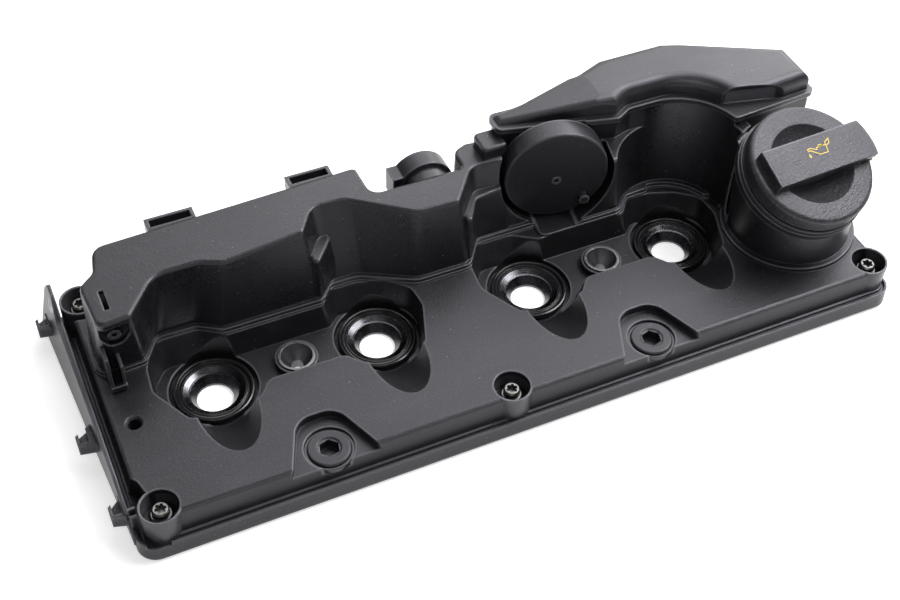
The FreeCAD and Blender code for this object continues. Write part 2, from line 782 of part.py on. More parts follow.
def separator_housing():
    chamber = eased(CHAMBER_FOOT, WELD_RIB_TOP, CHAMBER_RIM, CHAMBER_TOP, TOP_ROUND)
    ledge = eased(LEDGE, WELD_RIB_TOP, LEDGE, LEDGE_TOP, TOP_ROUND)
    left_step = eased(LEFT_STEP_FOOT, WELD_RIB_TOP, LEFT_STEP_RIM, 50.5, 1.2)
    right_step = eased(RIGHT_STEP_FOOT, WELD_RIB_TOP, RIGHT_STEP_RIM, 52.5, 1.2)
    tower = ruled(TOWER_FOOT, WELD_RIB_TOP, TOWER_RIM, LID_SEAT)
    corner_block = [(X3 - 9, CHAMBER_REAR, 2), (X3 + 5, CHAMBER_REAR, 2), (X3 + 5, 59, 2), (X3 - 9, 59, 3)]
    solids = [chamber, ledge, left_step, right_step, tower, wedge()]
    solids.append(eased(corner_block, WELD_RIB_TOP, corner_block, 73.5, 1.4))
    solids.append(regulator_rod(REG_BOSS, -REG_DEPTH - 12, -REG_DEPTH))
    shape = solids[0].fuse(solids[1:])
    shape = shape.cut([injector_bay(), face_socket(0, 0)])
    trims = []
    for foot in (CHAMBER_FOOT, LEDGE, TOWER_FOOT):
        trims.append(prism(inset(foot, -WELD_FLANGE), WELD_RIB_TOP, WELD_RIB_TOP + 2))
    stub_length = COLLAR_START + COLLAR_LENGTH - CHAMBER_REAR + 4 - 2
    trims.append(Part.makeCylinder(PORT_STUB, stub_length, V(PORT_X, CHAMBER_REAR - 4, PORT_Z), V(0, 1, 0)))
    trims.append(eyelet(X1 + 4.3, 61.9, 25))
    trims.append(eyelet(X2 - 9, 64.6, 24))
    trims += clip_socket()
    trims.append(socket_boss())
    housing = shape.fuse(trims)
    cuts = [cradle(0)]
    cuts.append(rod(NECK_RADIUS + 1, NECK_X, NECK_Y, DECK_Z - 1, LID_TOP))
    cuts.append(rod(NECK_RING + FREE_GAP, NECK_X, NECK_Y, DECK_Z - 1, WELD_RIB_TOP + 2.5))
    cuts.append(neck_rod(CAP_FLANGE + 2, -8, 45))
    cuts += housing_spaces()
    port_length = COLLAR_START + COLLAR_LENGTH - CHAMBER_REAR + 12
    port = Part.makeCylinder(PORT_BORE, port_length, V(PORT_X, CHAMBER_REAR - 8, PORT_Z), V(0, 1, 0))
    cuts.append(port)
    cuts.append(box(X1 - 41.2, X1 - 38.8, 18.5, 31.5, CHAMBER_TOP - 6, CHAMBER_TOP + 1))
    cuts.append(box(X3 - 20, X4, CHAMBER_REAR - 15, REAR_Y, LID_SEAT, LID_TOP))
    cuts.append(regulator_rod(CUP_RADIUS, -REG_DEPTH - CUP_DEPTH, -REG_DEPTH + 1))
    housing = housing.cut(cuts)
    seat = regulator_rod(SEAT_RADIUS, -REG_DEPTH - CUP_DEPTH - 1, -REG_DEPTH - SEAT_STROKE - 1.0)
    housing = housing.fuse(seat)
    return housing.cut(regulator_rod(SEAT_BORE, -REG_DEPTH - 20, -REG_DEPTH)).removeSplitter()


def housing_spaces():
    """Hollow insides of the chamber, the ledge and the tower."""
    keep = regulator_rod(REG_BOSS + 0.5, -REG_DEPTH - 12, -REG_DEPTH)
    keep_cradle = cradle(SHELL_WALL)
    keep_socket = face_socket(SHELL_WALL, SHELL_WALL)
    chamber = ruled(inset(CHAMBER_FOOT, SHELL_WALL), WELD_RIB_TOP - 1,
                    inset(CHAMBER_RIM, SHELL_WALL), CHAMBER_TOP - SHELL_WALL)
    tower = ruled(inset(TOWER_FOOT, SHELL_WALL), WELD_RIB_TOP - 1,
                  inset(TOWER_RIM, SHELL_WALL), LID_SEAT + 1)
    return [chamber.cut([keep, keep_cradle, keep_socket]), tower.cut([keep, keep_cradle])]


def shoulder(points, z0, z1, radius):
    """Upright block whose top edge is rounded in six small steps."""
    levels = [(points, z0)]
    for k in range(7):
        a = math.radians(15 * k)
        levels.append((inset(points, radius * (1 - math.cos(a)) + 0.001 * k), z1 - radius + radius * math.sin(a)))
    return stack(levels)


def tilted(block):
    """Block turned down to the left about the lid's crest."""
    block.rotate(V(LID_CREST_X, 0, LID_TOP), V(0, 1, 0), -LID_SLOPE)
    return block


def lid_slope_outline(inwards):
    """Left half of the lid's outline, widened beyond the crest so that it only shapes the slope."""
    front = (LID_FLANGE[1][1] - LID_FLANGE[0][1]) / (LID_FLANGE[1][0] - LID_FLANGE[0][0])
    rear = (LID_FLANGE[-3][1] - LID_FLANGE[-2][1]) / (LID_FLANGE[-3][0] - LID_FLANGE[-2][0])
    far = RIGHT_END + 12
    return inset([
        (LID_FLANGE[0][0] - 2, LID_FLANGE[0][1] - 2 * front, 4),
        (far, LID_FLANGE[1][1] + front * (far - LID_FLANGE[1][0]), 4),
        (far, LID_FLANGE[-3][1] + 3 * rear * (far - LID_FLANGE[-3][0]), 4),
        (LID_FLANGE[-3][0], LID_FLANGE[-3][1], 15),
        (LID_FLANGE[-2][0], LID_FLANGE[-2][1], 15),
        (LID_FLANGE[-1][0] - 2, LID_FLANGE[-1][1], 4),
    ], inwards)


def lid_crest_outline(inwards):
    """Lid's outline, widened to the left of the crest so that it only shapes the level part."""
    middle = [(x, y, min(r, 30)) for x, y, r in LID_FLANGE[1:-2]]
    return inset([(X3 - 8, 44, 4)] + middle + [(X3 - 8, 71, 4)], inwards)


def separator_lid():
    flange = prism(LID_FLANGE, LID_SEAT, LID_FLANGE_TOP)
    foot = inset(LID_FLANGE, 3.2)
    flat = shoulder(lid_crest_outline(3.2), LID_FLANGE_TOP - 1, LID_TOP, LID_SHOULDER)
    slope = tilted(shoulder(lid_slope_outline(3.0), LID_SEAT - 40, LID_TOP, LID_SLOPE_SHOULDER))
    lid = flange.fuse(flat.common(slope)).cut(regulator_rod(REG_RADIUS + 1.0, -REG_DEPTH - 0.8, 50))
    roof = SHELL_WALL + 0.7
    space = prism(inset(foot, SHELL_WALL), LID_SEAT - 1, LID_TOP - roof)
    return lid.cut(space.common(tilted(prism(lid_slope_outline(3.2), LID_SEAT - 40, LID_TOP - roof)))).removeSplitter()


def labyrinth(foot, rim, rim_z, x_range, x_places, height):
    """Flat insert with upright cross walls that turn the gas."""
    low = WELD_RIB_TOP
    gap = SHELL_WALL + FREE_GAP
    room = ruled(inset(foot, gap), low - 1, inset(rim, gap), rim_z)
    layers = [box(x_range[0], x_range[1], 0, 90, low, low + INSERT_BASE)]
    for x in x_places:
        layers.append(box(x - 1, x + 1, 0, 90, low, low + height))
    insert = room.common(join(layers))
    return insert.cut(separator_ways()).removeSplitter()


# Small parts

INSERT_BACK = [
    (INSERT_RIM, INSERT_RIM_Z - INSERT_WALL),
    (INSERT_STEP + INSERT_WALL, INSERT_STEP_Z - INSERT_WALL),
    (INSERT_HOLE + INSERT_WALL, INSERT_NECK),
    (INSERT_HOLE + INSERT_WALL, 0),
]


def injector_seal(x):
    return turned([
        (SEAL_SLEEVE, 0),
        (SEAL_SLEEVE, SEAL_FLOOR_Z),
        (SEAL_RADIUS, SEAL_FLOOR_Z),
        (SEAL_RADIUS, SEAL_TOP - 1.0),
        (SEAL_RADIUS - 0.3, SEAL_TOP - 0.3),
        (SEAL_RADIUS - 1.0, SEAL_TOP),
        (SEAL_RADIUS - 1.8, SEAL_TOP - 0.2),
        (SEAL_RADIUS - 2.6, SEAL_TOP - 1.4),
        (INSERT_RIM + 1.3, SEAL_TOP - 1.4),
        (INSERT_RIM + 0.9, SEAL_TOP - 0.9),
        (INSERT_RIM + 0.3, SEAL_TOP - 0.9),
        (INSERT_RIM, INSERT_RIM_Z),
    ] + INSERT_BACK, x, 0)


def injector_insert(x):
    return turned([
        (INSERT_HOLE, 0),
        (INSERT_HOLE, INSERT_NECK + 0.4),
        (INSERT_STEP - 0.5, INSERT_STEP_Z - 1.0),
        (INSERT_STEP, INSERT_STEP_Z - 0.2),
        (INSERT_STEP + 0.8, INSERT_STEP_Z),
        (INSERT_RIM, INSERT_RIM_Z),
    ] + INSERT_BACK, x, 0)


def clamp_bush(x):
    return turned([
        (BUSH_HOLE, FLANGE_UNDERSIDE),
        (BUSH_RADIUS, FLANGE_UNDERSIDE),
        (BUSH_RADIUS, BUSH_TOP - 1),
        (BUSH_RADIUS + 0.7, BUSH_TOP - 1),
        (BUSH_RADIUS + 0.7, BUSH_TOP),
        (BUSH_MOUTH, BUSH_TOP),
        (BUSH_HOLE, BUSH_TOP - 7.5),
    ], x, 0)


def hexagon(x, y, z, across):
    points = []
    for k in range(7):
        a = math.radians(60 * k + 15)
        points.append(V(x + across / math.sqrt(3) * math.cos(a), y + across / math.sqrt(3) * math.sin(a), z))
    return Part.Face(Part.makePolygon(points))


def screw_plug(x):
    top = BELL_FLOOR_Z + 0.3
    body = turned([
        (0, BELL_FLOOR_Z - PLUG_LENGTH),
        (PLUG_SHANK, BELL_FLOOR_Z - PLUG_LENGTH),
        (PLUG_SHANK, BELL_FLOOR_Z - PLUG_HEAD),
        (PLUG_RADIUS, BELL_FLOOR_Z - PLUG_HEAD),
        (PLUG_RADIUS, top - 0.6),
        (PLUG_RADIUS - 0.6, top),
        (PLUG_HEX / 2 + 1.6, top),
        (PLUG_HEX / 2 + 1.0, top - 0.6),
        (0, top - 0.6),
    ], x, PLUG_Y)
    return body.cut(hexagon(x, PLUG_Y, top - 6, PLUG_HEX).extrude(V(0, 0, 8)))


def plug_ring(x):
    inner = PLUG_RADIUS + SEAT_GAP
    outer = RING_RADIUS - SEAT_GAP
    return tube(outer, inner, x, PLUG_Y, BELL_FLOOR_Z - PLUG_HEAD, BELL_FLOOR_Z - 1.2)


def captive_screw(x, y):
    head_base = SLEEVE_TOP
    body = turned([
        (0, 2.0),
        (SCREW_SHANK, 2.0),
        (SCREW_SHANK, head_base),
        (HEAD_FLANGE, head_base),
        (HEAD_FLANGE, head_base + 0.8),
        (HEAD_RADIUS + 0.6, head_base + 2.0),
        (HEAD_RADIUS, head_base + 2.0),
        (HEAD_RADIUS, head_base + 2.0 + HEAD_HEIGHT - 0.8),
        (HEAD_RADIUS - 0.8, head_base + 2.0 + HEAD_HEIGHT),
        (0, head_base + 2.0 + HEAD_HEIGHT),
    ], x, y)
    top = head_base + 2.0 + HEAD_HEIGHT
    star = [rod(2.0, x, y, top - 3, top + 1)]
    for k in range(6):
        a = math.radians(60 * k)
        star.append(rod(0.9, x + 2.0 * math.cos(a), y + 2.0 * math.sin(a), top - 3, top + 1))
    return body.cut(star)


def screw_sleeve(x, y):
    return tube(SLEEVE_OUTER, SLEEVE_BORE, x, y, FLANGE_UNDERSIDE, SLEEVE_TOP)


def screw_grommet(x, y):
    inner = SLEEVE_OUTER + SEAT_GAP
    low = tube(GROMMET_OUTER, inner, x, y, FLANGE_UNDERSIDE + 1.5, BOSS_FLOOR)
    high = tube(BOSS_BORE - SEAT_GAP, inner, x, y, BOSS_FLOOR, SLEEVE_TOP - 2)
    return low.fuse(high).removeSplitter()


# Filler cap

def filler_cap():
    base = CAP_SEAL
    top = CAP_HEIGHT
    axis = NECK_AXIS
    disc = neck_rod(CAP_RADIUS, base + 3, top)
    rim_edges = []
    for edge in disc.Edges:
        centre = edge.BoundBox.Center
        height = centre.sub(RIM_CENTRE).dot(axis)
        if height > top - 0.1 and edge.Length > 50:
            rim_edges.append(edge)
    disc = disc.makeFillet(2.5, rim_edges)
    lip = neck_rod(CAP_FLANGE, base, base + 2)
    waist = neck_rod(CAP_RADIUS - 1.2, base + 1, base + 4)
    bar = cap_block(-28.8, 37, GRIP_WIDTH, top - 7, top + GRIP_RISE)
    bar = bar.common(neck_rod(CAP_RADIUS + 1.0, 0, top + GRIP_RISE + 1))
    keep = cap_block(-60, 60, GRIP_WIDTH, 0, 60)
    dish = (CAP_WELL ** 2 + CAP_WELL_DEPTH ** 2) / (2 * CAP_WELL_DEPTH)
    well = Part.makeSphere(dish, along_neck(top - CAP_WELL_DEPTH + dish)).cut(keep)
    undercut = cap_block(CAP_RADIUS - 9, 40, GRIP_WIDTH + 2, top + 0.0, top + 2.2)
    cap = disc.fuse([lip, waist]).cut(well).fuse(bar).cut(undercut)
    return cap.removeSplitter()


def cap_direction(angle):
    """Unit vector in the cap's plane at an angle from the grip bar."""
    side = V(0, 1, 0).cross(NECK_AXIS)
    side.normalize()
    turn = FreeCAD.Rotation(NECK_AXIS, angle + GRIP_TURN)
    return turn.multVec(side)


def cap_block(u0, u1, width, z0, z1):
    """Straight block along the grip bar, between two heights over the rim."""
    along = cap_direction(0)
    across = cap_direction(90)
    corners = []
    for u, v in ((u0, -1), (u1, -1), (u1, 1), (u0, 1), (u0, -1)):
        point = along_neck(z0).add(V(along).multiply(u))
        corners.append(point.add(V(across).multiply(GRIP_OFFSET + v * width / 2)))
    return Part.Face(Part.makePolygon(corners)).extrude(V(NECK_AXIS).multiply(z1 - z0))


def cap_plug():
    plug = neck_rod(NECK_BORE - FREE_GAP, -CAP_PLUG_LENGTH, CAP_SEAL)
    return plug.cut(neck_rod(NECK_BORE - FREE_GAP - 3, -CAP_PLUG_LENGTH - 1, -2))


def cap_seal_ring():
    return neck_rod(CAP_RADIUS - 2, 0, CAP_SEAL - SEAT_GAP).cut(neck_rod(NECK_BORE + FREE_GAP, -1, 2))


# Regulator

def regulator_cover():
    shell = regulator_rod(REG_RADIUS, -REG_DEPTH + DIAPHRAGM_THICK, 0)
    front = []
    for edge in shell.Edges:
        centre = edge.BoundBox.Center
        if centre.sub(regulator_point(0)).dot(regulator_axis()) > -0.1 and edge.Length > 50:
            front.append(edge)
    shell = shell.makeFillet(1.0, front)
    side = V(0, 0, 1).cross(regulator_axis())
    vent = V(0, 0, -VENT_DROP)
    outlet = V(side).multiply(16.0).add(V(0, 0, -17.0))
    shell = shell.fuse([face_rod(2.6, vent, -1, 0.5), face_rod(2.8, outlet, -3, 3.5)])
    shell = shell.cut(regulator_rod(REG_RADIUS - REG_WALL - 1.5, -REG_DEPTH, -REG_WALL))
    return shell.cut(face_rod(1.3, vent, -REG_WALL - 1, 1))


def face_rod(radius, offset, start, end):
    """Short rod on the cover's face, at an offset from its centre."""
    return Part.makeCylinder(radius, end - start, regulator_point(start).add(offset), regulator_axis())


def regulator_diaphragm():
    """Rubber ring clamped under the cover's rim, round the moving plate."""
    disc = regulator_rod(REG_BOSS, -REG_DEPTH, -REG_DEPTH + DIAPHRAGM_THICK)
    return disc.cut(regulator_rod(PLATE_RADIUS + SEAT_GAP, -REG_DEPTH - 1, 0))


def regulator_plate():
    back = -REG_DEPTH - 0.5
    plate = regulator_rod(PLATE_RADIUS, back, back + PLATE_THICK)
    spigot = regulator_rod(SEAT_BORE, back, back + PLATE_THICK + 1.5)
    return plate.fuse(spigot).removeSplitter()


def regulator_spring():
    start = -REG_DEPTH - CUP_DEPTH + SPRING_WIRE + SEAT_GAP
    end = -REG_DEPTH - 0.5 - SPRING_WIRE - SEAT_GAP
    pitch = (end - start) / SPRING_TURNS
    path = Part.makeHelix(pitch, end - start, SPRING_RADIUS)
    section = Part.Wire([Part.makeCircle(SPRING_WIRE, V(SPRING_RADIUS, 0, 0), V(0, 1, 0))])
    spring = Part.Wire(path.Edges).makePipeShell([section], True, True)
    turn = FreeCAD.Rotation(UP, regulator_axis())
    spring.Placement = FreeCAD.Placement(regulator_point(start), turn)
    return spring


# Breather coupling

def breather_collar():
    collar = Part.makeCylinder(COLLAR_RADIUS, COLLAR_LENGTH, V(PORT_X, COLLAR_START, PORT_Z), V(0, 1, 0))
    ear = box(PORT_X - COLLAR_RADIUS - 1.5, PORT_X - 10, COLLAR_START, COLLAR_START + COLLAR_LENGTH,
              PORT_Z - 3, PORT_Z + 11)
    collar = collar.fuse(ear)
    bore = Part.makeCylinder(PORT_STUB + SEAT_GAP, COLLAR_LENGTH + 2, V(PORT_X, COLLAR_START - 1, PORT_Z), V(0, 1, 0))
    return collar.cut(bore)


def drain_valve(x, y):
    """Rubber umbrella valve under the deck, held by its barbed stem."""
    low = DECK_Z - WALL
    top = WELD_RIB_TOP + INSERT_BASE
    return turned([
        (0, low - 3),
        (DRAIN_DISC, low - 1.2),
        (DRAIN_DISC, low),
        (DRAIN_STEM, low),
        (DRAIN_STEM, top),
        (DRAIN_STEM + 1.2, top),
        (DRAIN_STEM - 0.8, top + 3),
        (0, top + 3),
    ], x, y)


def build():
    body = cover_body()
    save(body, "cover_body")
    save(perimeter_gasket(), "perimeter_gasket")
    save(separator_housing(), "separator_housing")
    save(separator_lid(), "separator_lid")
    left = labyrinth(CHAMBER_FOOT, CHAMBER_RIM, CHAMBER_TOP - SHELL_WALL, (X1 - 60, X3 - 14),
                     [X1 + 2, X1 + 35, X2 - 8, X2 + 22], 22)
    save(left, "labyrinth_left")
    right = labyrinth(TOWER_FOOT, TOWER_RIM, LID_SEAT + 1, (X3 + 8, X4 + 90), [X4 - 10, X4 + 40], 30)
    save(right, "labyrinth_right")
    for k, (x, y) in enumerate(DRAIN_PLACES, start=1):
        save(drain_valve(x, y), "drain_valve_" + str(k))
    for k, x in enumerate(INJECTOR_X, start=1):
        save(injector_seal(x), "injector_seal_" + str(k))
        save(injector_insert(x), "injector_seal_insert_" + str(k))
    for k, x in enumerate((X1, X3), start=1):
        save(clamp_bush(x + CYLINDER_PITCH / 2), "clamp_bolt_bush_" + str(k))
        save(screw_plug(x + PLUG_OFFSET), "screw_plug_" + str(k))
        save(plug_ring(x + PLUG_OFFSET), "plug_o_ring_" + str(k))
    save(Part.makeCompound([captive_screw(x, y) for x, y in SCREW_PLACES]), "captive_screws")
    save(Part.makeCompound([screw_sleeve(x, y) for x, y in SCREW_PLACES]), "screw_sleeves")
    save(Part.makeCompound([screw_grommet(x, y) for x, y in SCREW_PLACES]), "screw_grommets")
    save(filler_cap(), "oil_filler_cap")
    save(cap_plug(), "cap_plug")
    save(cap_seal_ring(), "cap_seal_ring")
    save(regulator_cover(), "regulator_cover")
    save(regulator_diaphragm(), "regulator_diaphragm")
    save(regulator_plate(), "regulator_plate")
    save(regulator_spring(), "regulator_spring")
    save(breather_collar(), "breather_collar")


build()
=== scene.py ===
import math

import bpy
from bpy.props import FloatProperty, FloatVectorProperty, PointerProperty
from mathutils import Matrix, Vector


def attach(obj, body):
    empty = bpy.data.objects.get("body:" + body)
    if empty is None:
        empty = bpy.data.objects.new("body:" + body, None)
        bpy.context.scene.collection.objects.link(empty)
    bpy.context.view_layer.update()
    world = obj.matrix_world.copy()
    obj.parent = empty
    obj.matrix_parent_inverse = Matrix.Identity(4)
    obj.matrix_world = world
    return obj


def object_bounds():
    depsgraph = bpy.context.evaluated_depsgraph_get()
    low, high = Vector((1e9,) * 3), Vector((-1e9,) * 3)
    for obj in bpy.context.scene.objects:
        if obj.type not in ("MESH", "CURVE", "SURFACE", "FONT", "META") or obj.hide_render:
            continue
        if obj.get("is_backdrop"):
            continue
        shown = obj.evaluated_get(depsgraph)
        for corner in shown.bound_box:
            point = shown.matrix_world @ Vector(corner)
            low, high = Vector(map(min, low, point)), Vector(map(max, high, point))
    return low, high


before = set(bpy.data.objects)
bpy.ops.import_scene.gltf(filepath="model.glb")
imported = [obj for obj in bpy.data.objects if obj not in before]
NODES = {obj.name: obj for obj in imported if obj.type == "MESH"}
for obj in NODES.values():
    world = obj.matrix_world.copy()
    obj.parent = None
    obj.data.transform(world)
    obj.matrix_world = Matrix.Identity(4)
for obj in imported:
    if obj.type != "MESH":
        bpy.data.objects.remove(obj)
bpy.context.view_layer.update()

bl_info = {
    "name": "Engine valve cover",
    "version": (1, 0, 0),
    "blender": (4, 5, 0),
    "location": "View3D > Sidebar > Valve cover",
    "description": "Finishes the moulded valve cover with its cap, seals and metal parts, and lights it",
    "category": "Object",
}

MM = 0.001

# Filler cap as the solids have it, in degrees and millimetres
CAP_TILT = 21.5
CAP_TURN = -8.0
GRIP_TURN = 4.0
GRIP_TOP = 19.0
RIM_CENTRE = (320.5, -25.8, 61.7)

# Oil can mark on the grip: its middle and its height over the plastic, in millimetres
MARK_ALONG = 4.5
MARK_ACROSS = 4.0
MARK_LIFT = 0.05
MITRE_LIMIT = 0.35

# Oil can in its own plane, in millimetres: body with spout, handle, lid knob and falling drop
OIL_CAN = [
    [(3.6, 1.4), (3.0, -2.8), (-2.0, -2.8), (-6.6, 0.8), (-7.9, 0.6), (-8.0, 1.7), (-6.2, 2.1),
     (-2.5, 0.3), (-2.3, 1.4)],
    [(3.5, 0.7), (6.3, 1.8), (6.9, 4.2), (4.0, 2.9)],
    [(-0.8, 1.4), (1.4, 1.4), (1.0, 2.4), (-0.5, 2.4)],
    [(-8.3, -1.1), (-7.8, -2.2), (-8.3, -2.9), (-8.8, -2.2)],
]

# Plastic: noise cells per metre, depths in metres, and shades as multiples of its colour
FLOW_SCALE = 22
STREAK_SCALE = 60
WAVE_SCALE = 120
DUST_SCALE = 260
GRAIN_SCALE = 1100
CAP_GRAIN_SCALE = 800
WAVE_DEPTH = 0.00012
FLOW_SHADES = (0.7, 1.3)
STREAK_SHADE = 1.8
FLECK_SHADE = 4.0
# The edge shade lightens the edges partly as rubbed wear and partly as a painted edge highlight
EDGE_WEAR_AND_HIGHLIGHT_SHADE = 13.0
RUBBED_GLOSS = 0.16
DUST_SIZE = 0.045
DUST_FADE = 2.2
DUST_SHARE = 0.35

# Rubber, metal and ink, in the same units
BLOOM_SCALE = 180
RIPPLE_SCALE = 500
RIPPLE_DEPTH = 0.000012
TURNING_SCALE = 2400
TURNING_DEPTH = 0.00001
FILM_SCALE = 90
INK_SCALE = 900
RUBBER_EDGE = 0.0005
METAL_EDGE = 0.00025

# Colours that no setting holds
DUST_GREY = (0.16, 0.16, 0.17)
PLASTIC_GLOSS = (0.92, 0.91, 1.0, 1.0)
INNER_PLASTIC = (0.05, 0.05, 0.05)
PLATE_PLASTIC = (0.08, 0.08, 0.08)
HIDDEN_RUBBER = (0.02, 0.02, 0.02)
VALVE_RUBBER = (0.03, 0.02, 0.02)
SPRING_STEEL = (0.5, 0.5, 0.5)
SLEEVE_STEEL = (0.25, 0.25, 0.26)
WHITE = (1, 1, 1, 1)

# Stage: floor in metres, and how high, as a sine, the mirrored backdrop stays white and where it ends
FLOOR_REACH = 6.0
FLOOR_GAP = 0.0005
BACKDROP_WHITE = 0.06
BACKDROP_END = 0.20
SENSOR_WIDTH = 36
CLIP_START = 0.01

# Lamps: name, place from the part's middle, width and height in metres, and the setting with its power
LAMPS = [
    ("key_softbox", (0.52, 0.48, 1.02), 1.6, 1.1, "key"),
    ("right_softbox", (0.85, -0.05, 1.05), 0.7, 0.7, "right"),
    ("rear_strip", (0.25, 1.15, 0.75), 1.2, 0.3, "rear"),
    ("right_tube", (0.95, 0.25, 0.75), 0.04, 1.1, "tube"),
    ("left_tube", (-0.55, 0.85, 0.85), 1.1, 0.04, "tube"),
    ("lid_softbox", (1.00, 0.83, 0.57), 0.5, 0.5, "lid"),
    ("fill_softbox", (-0.25, -0.75, 1.0), 0.8, 0.6, "fill"),
]


class ShotSettings(bpy.types.PropertyGroup):
    """Camera and stage of the product shot."""

    eye: FloatVectorProperty(
        name="Eye", description="Place of the camera",
        size=3, subtype="TRANSLATION", default=(-0.08104, -0.43050, 0.54486))
    yaw: FloatProperty(
        name="Yaw", description="Heading of the camera from the rear axis",
        subtype="ANGLE", default=0.4543)
    pitch: FloatProperty(
        name="Pitch", description="How far the camera looks down",
        subtype="ANGLE", default=0.8318)
    roll: FloatProperty(
        name="Roll", description="Turn of the camera about its own axis",
        subtype="ANGLE", default=-0.0402)
    lens: FloatProperty(
        name="Lens", description="Focal length on a 36 mm sensor",
        subtype="DISTANCE_CAMERA", default=54.49)
    paper: FloatVectorProperty(
        name="Paper", description="Colour of the floor",
        size=3, subtype="COLOR", default=(0.80, 0.80, 0.80))
    glow: FloatProperty(
        name="Paper glow", description="Light of its own that the floor shows to the camera",
        min=0, max=1, subtype="FACTOR", default=0.55)
    key: FloatProperty(
        name="Key softbox", description="Power of the wide softbox high over the rear right",
        unit="POWER", default=17.0)
    right: FloatProperty(
        name="Right softbox", description="Power of the softbox high over the right",
        unit="POWER", default=15.0)
    rear: FloatProperty(
        name="Rear strip", description="Power of the strip light low behind the part",
        unit="POWER", default=2.5)
    lid: FloatProperty(
        name="Lid softbox", description="Power of the softbox behind the right tower",
        unit="POWER", default=6.0)
    fill: FloatProperty(
        name="Fill", description="Power of the soft light over the front",
        unit="POWER", default=2.8)
    tube: FloatProperty(
        name="Tubes", description="Power of each of the two bare tube lights",
        unit="POWER", default=1.5)
    sky: FloatProperty(
        name="Sky", description="Strength of the even surrounding light",
        min=0, max=1, subtype="FACTOR", default=0.10)


class PlasticSettings(bpy.types.PropertyGroup):
    """Moulded plastics of the cover, separator and cap."""

    cover: FloatVectorProperty(
        name="Cover", description="Colour of the lower moulding and the lid",
        size=3, subtype="COLOR", default=(0.0115, 0.0112, 0.0127))
    housing: FloatVectorProperty(
        name="Housing", description="Colour of the separator housing",
        size=3, subtype="COLOR", default=(0.0090, 0.0088, 0.0101))
    cap: FloatVectorProperty(
        name="Cap", description="Colour of the filler cap and the regulator",
        size=3, subtype="COLOR", default=(0.016, 0.0156, 0.0178))
    edge: FloatProperty(
        name="Edge", description="Softness of the moulded edges",
        unit="LENGTH", default=0.0012)
    grain: FloatProperty(
        name="Grain", description="Depth of the moulded grain",
        unit="LENGTH", default=0.00012)
    # Lightens the edges partly as rubbed wear and partly as a painted edge highlight
    edge_wear_and_highlight: FloatProperty(
        name="Rub", description="How far the edges are rubbed bright",
        min=0, max=1, subtype="FACTOR", default=0.8)


class SmallPartSettings(bpy.types.PropertyGroup):
    """Rubber, metal and printed details."""

    rubber: FloatVectorProperty(
        name="Rubber", description="Colour of seals and rings",
        size=3, subtype="COLOR", default=(0.008, 0.008, 0.009))
    cone: FloatVectorProperty(
        name="Cone", description="Colour of the steel cones in the seals",
        size=3, subtype="COLOR", default=(0.11, 0.11, 0.12))
    bush: FloatVectorProperty(
        name="Bush", description="Colour of the clamp bolt bushes",
        size=3, subtype="COLOR", default=(0.22, 0.22, 0.23))
    steel: FloatVectorProperty(
        name="Steel", description="Colour of the screw heads",
        size=3, subtype="COLOR", default=(0.17, 0.168, 0.165))
    mark: FloatVectorProperty(
        name="Mark", description="Colour of the oil can mark",
        size=3, subtype="COLOR", default=(0.62, 0.43, 0.02))
    mark_line: FloatProperty(
        name="Mark line", description="Line width of the oil can mark",
        unit="LENGTH", default=0.00050)


class Tree:
    """A node tree with short ways to add and join nodes."""

    def __init__(self, node_tree):
        self.nodes = node_tree.nodes
        self.links = node_tree.links

    def join(self, value, socket):
        """Link an output to a socket, or set the socket to a number."""
        if isinstance(value, bpy.types.NodeSocket):
            self.links.new(value, socket)
        else:
            socket.default_value = value

    def ramp(self, value, low, high, to_low, to_high):
        """Value between low and high, stretched to a new range."""
        node = self.nodes.new("ShaderNodeMapRange")
        limits = {"From Min": low, "From Max": high, "To Min": to_low, "To Max": to_high}
        for name, limit in limits.items():
            self.join(limit, node.inputs[name])
        self.links.new(value, node.inputs["Value"])
        return node.outputs["Result"]

    def math(self, operation, a, b):
        """One sum of two numbers or outputs."""
        node = self.nodes.new("ShaderNodeMath")
        node.operation = operation
        self.join(a, node.inputs[0])
        self.join(b, node.inputs[1])
        return node.outputs[0]


